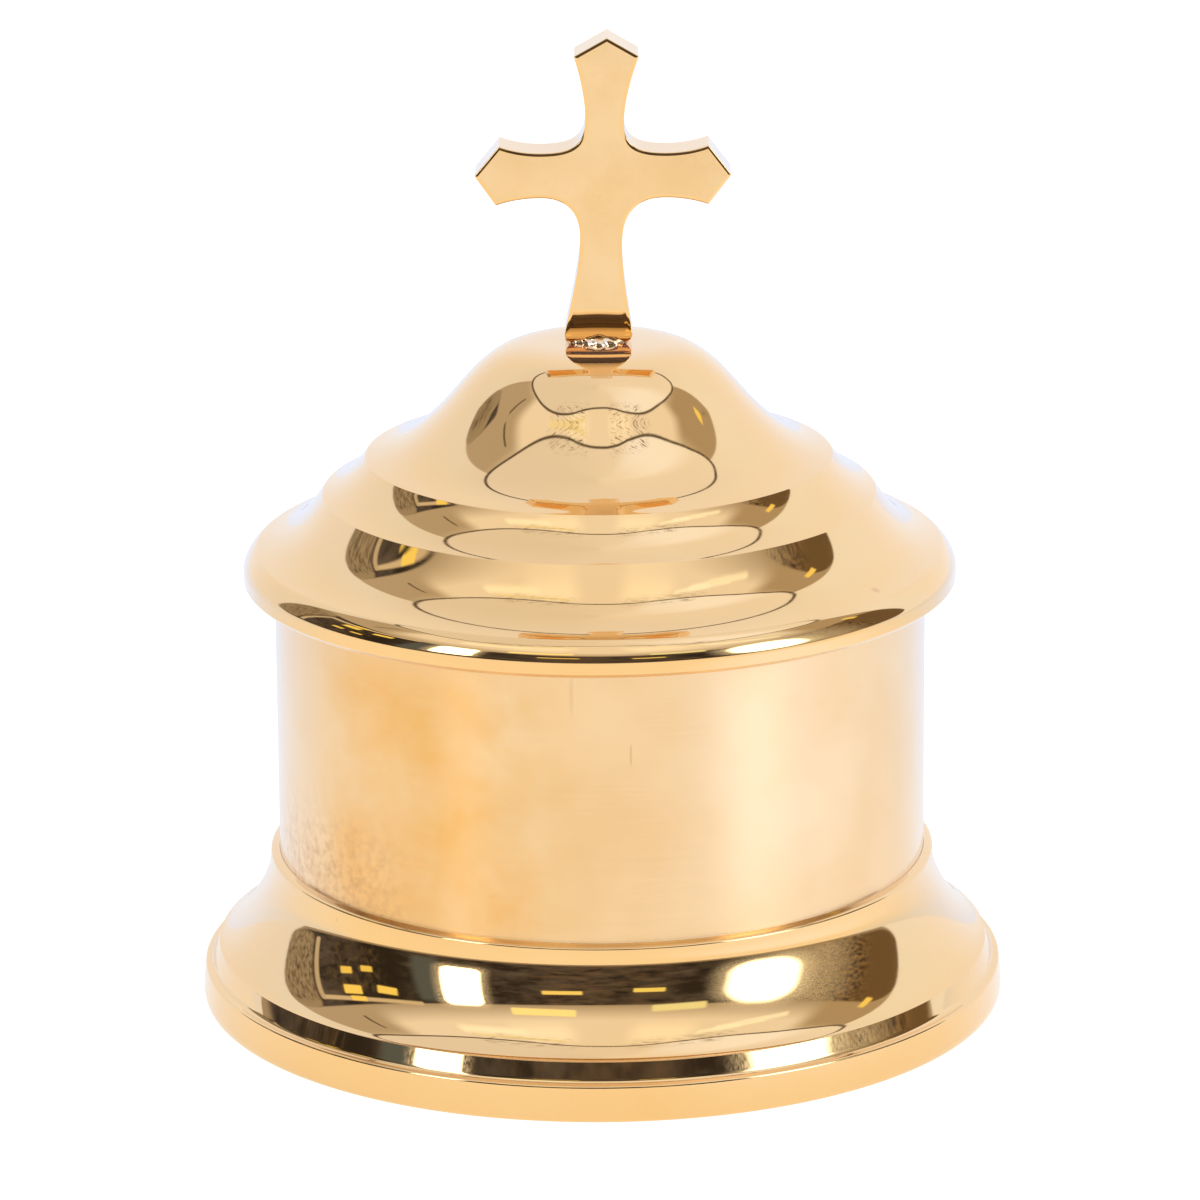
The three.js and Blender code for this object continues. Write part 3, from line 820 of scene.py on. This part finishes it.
# The white tent and the floor
# The box stands on white in a white tent that is open at the front. Through the opening the
# brass mirrors a dark room, two soft lamps, ceiling lights and the tent's seam.
# Each patch of light is given in degrees: azimuth from the viewer and height.

world = bpy.data.worlds.new("White tent in a dark room")
bpy.context.scene.world = world
world.use_nodes = True
tree = world.node_tree
tree.nodes.clear()
toward = add(tree, "ShaderNodeTexCoord").outputs["Generated"]
axes = add(tree, "ShaderNodeSeparateXYZ", {0: toward})
front = add(tree, "ShaderNodeMath", {0: axes.outputs[1], 1: -1.0}, operation="MULTIPLY")
azimuth = add(tree, "ShaderNodeMath", {0: axes.outputs[0], 1: front.outputs[0]},
              operation="ARCTAN2")
azimuth = add(tree, "ShaderNodeMath", {0: azimuth.outputs[0], 1: 180 / math.pi},
              operation="MULTIPLY").outputs[0]
height = add(tree, "ShaderNodeMath", {0: axes.outputs[2]}, operation="ARCSINE")
height = add(tree, "ShaderNodeMath", {0: height.outputs[0], 1: 180 / math.pi},
             operation="MULTIPLY").outputs[0]
spot = add(tree, "ShaderNodeCombineXYZ", {0: azimuth, 1: height}).outputs[0]


def patch(at, half, corner, soft, turn=0.0):
    """A mask for a rounded patch of the surroundings, turned that many degrees anticlockwise:
    1 inside and 0 outside."""
    off = add(tree, "ShaderNodeVectorMath", {0: spot, 1: (*at, 0)}, operation="SUBTRACT")
    if turn:
        off = add(tree, "ShaderNodeVectorRotate", {
            "Vector": off.outputs[0], "Angle": -math.radians(turn)}, rotation_type="Z_AXIS")
    off = add(tree, "ShaderNodeVectorMath", {0: off.outputs[0]}, operation="ABSOLUTE")
    off = add(tree, "ShaderNodeVectorMath", {
        0: off.outputs[0], 1: (half[0] - corner, half[1] - corner, 0)}, operation="SUBTRACT")
    off = add(tree, "ShaderNodeVectorMath", {0: off.outputs[0], 1: (0, 0, 0)},
              operation="MAXIMUM")
    far = add(tree, "ShaderNodeVectorMath", {0: off.outputs[0]}, operation="LENGTH")
    return add(tree, "ShaderNodeMapRange", {
        0: far.outputs["Value"], 1: corner + soft, 2: max(corner - soft, 0.0)},
        interpolation_type="SMOOTHSTEP").outputs[0]


def over(below, mask, colour):
    """One layer of the surroundings laid over those below."""
    return add(tree, "ShaderNodeMix", {0: mask, 6: below, 7: colour},
               data_type="RGBA").outputs[2]


def grain(across, up, low, high, seed=0.0):
    """A mask of noise with that many specks a degree, 0 under low and 1 over high."""
    place = add(tree, "ShaderNodeVectorMath", {0: spot, 1: (across, up, 1.0)},
                operation="MULTIPLY")
    place = add(tree, "ShaderNodeVectorMath", {0: place.outputs[0], 1: (seed, seed, seed)},
                operation="ADD")
    noise = add(tree, "ShaderNodeTexNoise", {
        "Vector": place.outputs[0], "Scale": 1.0, "Detail": 3.0, "Roughness": 0.6})
    return add(tree, "ShaderNodeMapRange", {0: noise.outputs["Fac"], 1: low, 2: high}).outputs[0]


def both(a, b):
    return add(tree, "ShaderNodeMath", {0: a, 1: b}, operation="MULTIPLY").outputs[0]


# The tent: cool white walls, neutral behind the box, brighter on the right, and a warmer roof.
TENT_WALLS = (0.95, 1.03, 1.24, 1)
TENT_BEHIND = (0.99, 0.98, 1.0, 1)
TENT_ROOF = (0.92, 0.95, 1.1, 1)
TENT_RIGHT = (1.03, 1.14, 1.5, 1)
SEAM_DARK = (0.12, 0.1, 0.08, 1)

roof = add(tree, "ShaderNodeMapRange", {0: height, 1: 42.0, 2: 60.0}).outputs[0]
behind = add(tree, "ShaderNodeMapRange", {0: front.outputs[0], 1: -0.4, 2: -0.85},
             interpolation_type="SMOOTHSTEP").outputs[0]
tent = over(TENT_WALLS, behind, TENT_BEHIND)
tent = over(tent, roof, TENT_ROOF)
tent = over(tent, patch((65, 64), (30, 14), 12, 12), TENT_RIGHT)
sideways = add(tree, "ShaderNodeMath", {0: azimuth, 1: math.pi / 180}, operation="MULTIPLY")
sideways = add(tree, "ShaderNodeMath", {0: sideways.outputs[0]}, operation="SINE")
sideways = add(tree, "ShaderNodeMath", {0: sideways.outputs[0], 1: 0.06, 2: 1.0},
               operation="MULTIPLY_ADD")
tent = add(tree, "ShaderNodeVectorMath", {0: tent, "Scale": sideways.outputs[0]},
           operation="SCALE").outputs[0]

# The seam of its roof, a thin dark line, and how far above it a direction lies.
seam = add(tree, "ShaderNodeFloatCurve", {
    1: add(tree, "ShaderNodeMapRange", {0: azimuth, 1: -180.0, 2: 180.0}).outputs[0]})
curve = seam.mapping.curves[0]
for az, el in ((-150, 55), (-120, 55.5), (-95, 57), (-75, 58.5), (-60, 60.5), (-40, 64.5),
               (-20, 69), (0, 70.5), (20, 69.5), (40, 65), (60, 60), (80, 56.5), (95, 53.5),
               (110, 51.5), (130, 54), (150, 55)):
    curve.points.new(az / 360 + 0.5, el / 90)
curve.points[0].location = (0, 53.5 / 90)
curve.points[-1].location = (1, 53.5 / 90)
seam.mapping.update()
above = add(tree, "ShaderNodeMath", {0: seam.outputs[0], 1: -90.0, 2: height},
            operation="MULTIPLY_ADD").outputs[0]
line = add(tree, "ShaderNodeMath", {0: above}, operation="ABSOLUTE")
line = add(tree, "ShaderNodeMapRange", {0: line.outputs[0], 1: 0.75, 2: 0.25}).outputs[0]
tent_seam = over(tent, line, SEAM_DARK)

# What shows through the opening: azimuth and height, half sizes, corner, softness, turn and
# colour, and where a patch is broken up, its grain.
CEILING = (
    ((-114, 43), (27, 15), 7, 6, 0, (0.52, 0.48, 0.45), None),
    ((101, 42), (17, 13), 7, 6, 0, (0.48, 0.42, 0.35), None),
    ((-26, 59), (13, 7), 6, 6, 0, (1.15, 1.2, 1.3), None),
    ((26, 59), (13, 7), 6, 6, 0, (1.15, 1.2, 1.3), None),
    ((-38, 61.5), (20, 0.9), 0.8, 0.8, 11, (1.0, 1.0, 0.8), None),
    ((-47, 55.5), (14, 2.6), 2.2, 2.0, 9, (1.25, 1.3, 1.4), None),
    ((50, 55), (9, 1.5), 1.2, 1.2, -20, (1.2, 1.3, 1.4), None),
    ((57, 51.5), (10, 1.6), 1.2, 1.2, -20, (1.25, 1.35, 1.5), None),
    ((65, 48), (9, 1.3), 1.0, 1.2, -20, (1.15, 1.25, 1.35), None),
    ((-97, 47.5), (0.7, 4.0), 0.5, 0.5, -6, (0.14, 0.12, 0.1), None),
)
ROOM = (
    ((-1, 20), (22, 30), 12, 10, 0, (0.14, 0.11, 0.1), (0.1, 0.25, 0.4, 0.65, 4.0)),
    ((-80, 20), (9, 30), 6, 5, 0, (0.03, 0.026, 0.024), None),
    ((-92, 18), (12, 15), 6, 4, 0, (0.14, 0.11, 0.08), (0.5, 0.2, 0.45, 0.75, 6.0)),
    ((95, 18), (24, 30), 10, 8, 0, (0.3, 0.22, 0.14), (0.5, 0.5, 0.4, 0.6, 0.0)),
    ((106, 18), (8, 30), 6, 5, 0, (0.17, 0.12, 0.07), None),
    ((72, 20), (16, 22), 10, 9, 0, (0.75, 0.75, 0.75), (2.2, 2.2, 0.42, 0.58, 0.0)),
    ((-62, 20), (5, 16), 2, 2, 0, (0.11, 0.14, 0.19), None),
)
LIGHTS = (
    ((-88, 35.4), (21, 1.0), 0.5, 0.6, 7, (0.72, 0.66, 0.58), None),
    ((-117, 20), (6.4, 18), 4, 0.8, 0, (0.38, 0.34, 0.29), None),
    ((-116, 18), (7, 16), 4, 2, 0, (0.1, 0.08, 0.06), (0.9, 0.3, 0.42, 0.7, 3.0)),
    ((-108.5, 19), (1.0, 15), 0.8, 0.5, 0, (0.6, 0.56, 0.5), None),
    ((-22, 43), (12, 2.4), 0.8, 0.6, 4, (1.25, 1.2, 0.72), None),
    ((28, 39.6), (10, 2.4), 1.0, 0.8, -6, (1.0, 1.1, 0.8), None),
    ((-93, 34.6), (3.2, 1.2), 0.4, 0.4, 8, (1.1, 0.95, 0.3), None),
    ((-94, 30), (3.8, 2.2), 0.6, 0.5, 6, (1.1, 0.95, 0.3), None),
    ((-79.5, 30.6), (4.0, 2.1), 0.6, 0.5, 12, (1.1, 0.95, 0.3), None),
    ((-95, 20.2), (2.5, 1.8), 0.6, 0.5, 0, (1.0, 0.85, 0.25), None),
    ((-86, 18.8), (2.5, 1.7), 0.6, 0.5, 0, (1.0, 0.85, 0.25), None),
    ((-14, 28), (7, 1.5), 0.6, 0.5, 0, (1.1, 0.98, 0.38), None),
    ((16, 26), (5.5, 1.7), 0.6, 0.5, 0, (1.05, 0.98, 0.35), None),
    ((104, 38), (1.6, 2.6), 0.6, 0.5, 10, (1.1, 0.95, 0.3), None),
    ((-49.5, 24), (9.5, 16), 4, 2.5, 4, (1.0, 1.0, 1.0), (1.6, 1.6, 0.4, 0.6, 5.0)),
    ((-49.5, 24.3), (7.3, 14.3), 3.5, 0.8, 4, (4.0, 4.2, 4.6), None),
    ((57, 21.5), (18, 18), 13, 5, 0, (1.1, 1.15, 1.2), (1.6, 1.6, 0.4, 0.6, 5.0)),
    ((56.5, 22), (13, 15.5), 11, 2.5, 0, (4.2, 4.5, 5.0), None),
    ((-38, 65), (22, 5), 3, 3, 10, (0.2, 0.17, 0.12), (0.1, 2.6, 0.56, 0.62, 2.0)),
    ((38, 65), (22, 5), 3, 3, -10, (0.2, 0.17, 0.12), (0.1, 2.6, 0.56, 0.62, 2.0)),
)


def lay(sky, patches, low, high):
    """Lays those patches over the surroundings that reach between two azimuths."""
    for at, half, corner, soft, turn, colour, speck in patches:
        if at[0] - half[0] - soft < high and at[0] + half[0] + soft > low:
            mask = patch(at, half, corner, soft, turn)
            if speck:
                mask = both(mask, grain(*speck))
            sky = over(sky, mask, (*colour, 1))
    return sky


below_seam = add(tree, "ShaderNodeMapRange", {0: above, 1: 0.4, 2: -0.4}).outputs[0]
opening = both(patch((-5, 40), (118, 42), 12, 0.7), below_seam)
glow = add(tree, "ShaderNodeMapRange", {0: height, 1: 36.0, 2: 49.0}).outputs[0]
ceiling = over((0.4, 0.35, 0.31, 1), glow, (0.97, 0.99, 1.1, 1))
dark = over((0.035, 0.03, 0.03, 1), grain(0.08, 0.14, 0.42, 0.7), (0.13, 0.12, 0.13, 1))
dark_part = patch((-5, 19.5), (118, 18.3), 9, 0.6)

# Each sector is a shader of its own, so that only its own patches are worked out for a ray.
light = add(tree, "ShaderNodeBackground", {0: tent_seam, 1: 1.0}).outputs[0]
for low, high in ((-136, -34), (-34, 34), (34, 128)):
    sky = over(tent, opening, lay(ceiling, CEILING, low, high))
    sky = over(sky, dark_part, lay(dark, ROOM, low, high))
    sky = over(lay(sky, LIGHTS, low, high), line, SEAM_DARK)
    sector = add(tree, "ShaderNodeBackground", {0: sky, 1: 1.0})
    inside = add(tree, "ShaderNodeMath", {0: azimuth, 1: (low + high) / 2,
                                          2: (high - low) / 2}, operation="COMPARE")
    light = add(tree, "ShaderNodeMixShader", {
        0: inside.outputs[0], 1: light, 2: sector.outputs[0]}).outputs[0]

ray = add(tree, "ShaderNodeLightPath")
white = add(tree, "ShaderNodeBackground", {0: (1.0, 1.0, 1.0, 1), 1: 1.0})
light = add(tree, "ShaderNodeMixShader", {
    0: ray.outputs["Is Camera Ray"], 1: light, 2: white.outputs[0]})
add(tree, "ShaderNodeOutputWorld", {0: light.outputs[0]})

# The floor is a sheet of white paper 8 m wide. Its glow is painted light: warm in front, and a
# darker, cool painted shadow of the box behind, as far as the brass can mirror it, with a painted
# pool of the right lamp's light on it. The paper itself shows plain white.
FLOOR_HALF = 4.0
FLOOR_Z_M = -0.0001
floor_mesh = bpy.data.meshes.new("white_floor")
floor_mesh.from_pydata(
    [(x * FLOOR_HALF, y * FLOOR_HALF, FLOOR_Z_M) for x, y in ((-1, -1), (1, -1), (1, 1), (-1, 1))],
    [], [(0, 1, 2, 3)])
paper = bpy.data.materials.new("White paper with painted light and shade")
paper.use_nodes = True
tree = paper.node_tree
tree.nodes.clear()
place = add(tree, "ShaderNodeTexCoord").outputs["Object"]
far = add(tree, "ShaderNodeSeparateXYZ", {0: place})
# Painted shadow: the paper's glow turns darker and cool behind the box, where its shadow falls.
back = add(tree, "ShaderNodeMapRange", {0: far.outputs[1], 1: -0.05, 2: 0.16}).outputs[0]
glow = over((0.74, 0.67, 0.55, 1), back, (0.56, 0.61, 0.74, 1))
# A painted pool of the right lamp's light on the paper.
pool = add(tree, "ShaderNodeVectorMath", {0: place, 1: (0.17, -0.11, 0.0)}, operation="DISTANCE")
pool = add(tree, "ShaderNodeMapRange", {0: pool.outputs["Value"], 1: 0.17, 2: 0.04},
           interpolation_type="SMOOTHSTEP").outputs[0]
glow = over(glow, pool, (0.8, 0.85, 1.05, 1))
ray = add(tree, "ShaderNodeLightPath")
glow = over(glow, ray.outputs["Is Camera Ray"], (0.93, 0.93, 0.93, 1))
matt = add(tree, "ShaderNodeBsdfDiffuse", {0: (0.4, 0.4, 0.4, 1)})
lit = add(tree, "ShaderNodeEmission", {0: glow, 1: 1.0})
shown = add(tree, "ShaderNodeAddShader", {0: matt.outputs[0], 1: lit.outputs[0]})
add(tree, "ShaderNodeOutputMaterial", {0: shown.outputs[0]})
floor_mesh.materials.append(paper)
new_piece("white_floor", floor_mesh)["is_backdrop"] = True


# The camera
# A long lens 0.93 m away, looking a little down on the box, which leans by less than half a
# degree in the picture.

LENS = 205.68
CAMERA_AT = (0, -0.8794, 0.3119)
LOOK_DOWN = 16.33
ROLL = -0.4

camera = bpy.data.objects.new("camera", bpy.data.cameras.new("camera"))
bpy.context.scene.collection.objects.link(camera)
camera.data.lens = LENS
camera.data.sensor_width = 36.0
camera.data.clip_start = 0.05
camera.matrix_world = (Matrix.Translation(CAMERA_AT)
                       @ Matrix.Rotation(math.radians(90 - LOOK_DOWN), 4, "X")
                       @ Matrix.Rotation(math.radians(ROLL), 4, "Z"))
bpy.context.scene.camera = camera
bpy.context.scene.view_settings.view_transform = "Standard"

low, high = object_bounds()
